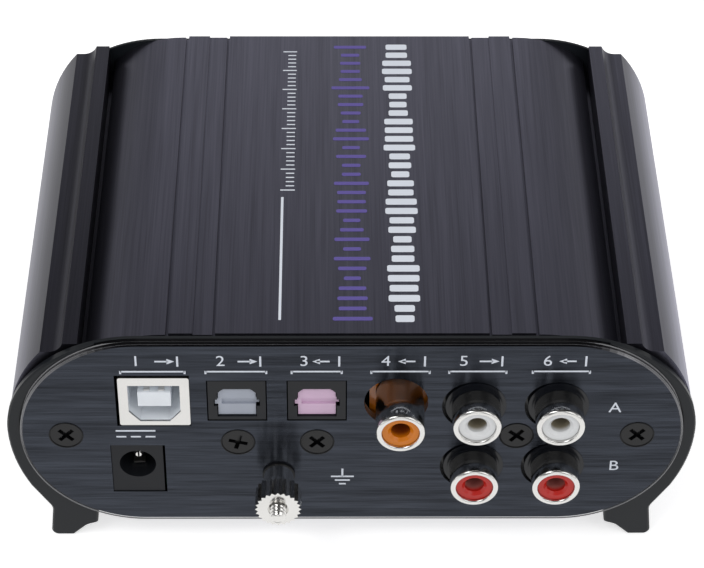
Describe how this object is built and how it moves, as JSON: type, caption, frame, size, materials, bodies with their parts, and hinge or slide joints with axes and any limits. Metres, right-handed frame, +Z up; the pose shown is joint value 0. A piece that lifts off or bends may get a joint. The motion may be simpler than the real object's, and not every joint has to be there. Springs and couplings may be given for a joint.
{
  "type": "phono preamp",
  "caption": "Compact phono preamp in a black extruded case with scalloped feet, phono, optical, coaxial, USB and power sockets, a ground post, and front dials and keys.",
  "frame": {"origin": "centre of the bounding box at the surface the feet stand on", "axes": "+X to the left seen from the connector end, +Y towards the connector end, +Z up"},
  "size_m": [0.1182, 0.1128, 0.0465],
  "materials": {
    "anodised": "brushed, black anodised",
    "bezel_metal": "satin dark slate",
    "screw_black": "black oxide",
    "bright_nickel": "polished nickel plate",
    "spring_brass": "plated spring metal",
    "black_plastic": "moulded",
    "knob_black": "satin",
    "shaft_steel": "plated",
    "capacitor_sleeve": "shrink sleeve",
    "grey_plastic": "moulded",
    "pink_plastic": "moulded",
    "orange_plastic": "moulded",
    "white_plastic": "moulded",
    "red_plastic": "moulded",
    "board_green": "solder mask",
    "lamp_lens": "clear tinted"
  },
  "bodies": {
    "enclosure": {"board_header": "black_plastic", "button_switches": "black_plastic", "capacitors": "capacitor_sleeve", "case_shell": "anodised", "coax_barrel": "bright_nickel", "coax_body": "orange_plastic", "coax_contact": "spring_brass", "coax_insert": "orange_plastic", "converter_chip": "black_plastic", "dc_jack_body": "black_plastic", "dc_jack_pin": "bright_nickel", "dc_jack_spring": "spring_brass", "front_bezel": "bezel_metal", "front_board": "board_green", "front_end_screws": "screw_black", "front_panel": "anodised", "gain_pot": "shaft_steel", "ground_lock_nut": "bright_nickel", "ground_lug": "spring_brass", "ground_stud": "bright_nickel", "headphone_jack": "black_plastic", "headphone_nut": "bright_nickel", "headphone_spring": "spring_brass", "main_board": "board_green", "monitor_pot": "shaft_steel", "op_amps": "black_plastic", "optical_in_body": "black_plastic", "optical_modules": "black_plastic", "optical_out_body": "black_plastic", "optical_screws": "screw_black", "pot_nuts": "bright_nickel", "rca_barrels": "bright_nickel", "rca_block_body": "black_plastic", "rca_block_screw": "screw_black", "rca_contacts": "spring_brass", "rca_inserts_red": "red_plastic", "rca_inserts_white": "white_plastic", "rear_bezel": "bezel_metal", "rear_end_screws": "screw_black", "rear_panel": "anodised", "status_lamps": "lamp_lens", "upper_board": "board_green", "usb_contacts": "spring_brass", "usb_insulator": "white_plastic", "usb_shell": "bright_nickel", "voltage_regulator": "black_plastic"},
    "gain_dial": {"gain_knob": "knob_black", "gain_shaft": "shaft_steel"},
    "monitor_dial": {"monitor_knob": "knob_black", "monitor_shaft": "shaft_steel"},
    "low_cut_key": {"low_cut_button": "knob_black"},
    "input_key": {"input_button": "knob_black"},
    "mono_key": {"mono_button": "knob_black"},
    "optical_out_shutter": {"optical_out_door": "grey_plastic"},
    "optical_in_shutter": {"optical_in_door": "pink_plastic"},
    "post_washer": {"ground_washer": "bright_nickel"},
    "post_nut": {"ground_nut": "bright_nickel"}
  },
  "joints": [
    {"name": "gain_turn", "type": "hinge", "parent": "enclosure", "child": "gain_dial", "pos_m": [0.031, -0.04555, 0.02576], "axis": [0, 1, 0], "range_deg": [-150, 150]},
    {"name": "monitor_turn", "type": "hinge", "parent": "enclosure", "child": "monitor_dial", "pos_m": [-0.02, -0.04555, 0.02576], "axis": [0, 1, 0], "range_deg": [-150, 150]},
    {"name": "low_cut_press", "type": "slide", "parent": "enclosure", "child": "low_cut_key", "axis": [0, 1, 0], "range_m": [0, 0.0016], "stiffness_N_per_m": 600, "springref_m": -0.0008},
    {"name": "input_press", "type": "slide", "parent": "enclosure", "child": "input_key", "axis": [0, 1, 0], "range_m": [0, 0.0016], "stiffness_N_per_m": 600, "springref_m": -0.0008},
    {"name": "mono_press", "type": "slide", "parent": "enclosure", "child": "mono_key", "axis": [0, 1, 0], "range_m": [0, 0.0016], "stiffness_N_per_m": 600, "springref_m": -0.0008},
    {"name": "optical_out_flap", "type": "hinge", "parent": "enclosure", "child": "optical_out_shutter", "pos_m": [0.01954, 0.0445, 0.03566], "axis": [-1, 0, 0], "range_deg": [0, 85], "stiffness_Nm_per_rad": 0.0003, "springref_deg": -17.19},
    {"name": "optical_in_flap", "type": "hinge", "parent": "enclosure", "child": "optical_in_shutter", "pos_m": [0.00597, 0.0445, 0.03566], "axis": [-1, 0, 0], "range_deg": [0, 85], "stiffness_Nm_per_rad": 0.0003, "springref_deg": -17.19},
    {"name": "washer_travel", "type": "slide", "parent": "enclosure", "child": "post_washer", "axis": [0, 1, 0], "range_m": [0, 0.003]},
    {"name": "nut_turn", "type": "hinge", "parent": "post_washer", "child": "post_nut", "pos_m": [0.01265, 0.04995, 0.0162], "axis": [0, 1, 0], "range_deg": [0, 2161]}
  ],
  "couplings": [
    {"joint": "nut_turn", "follows": "washer_travel", "rad_per_m": 12566}
  ]
}
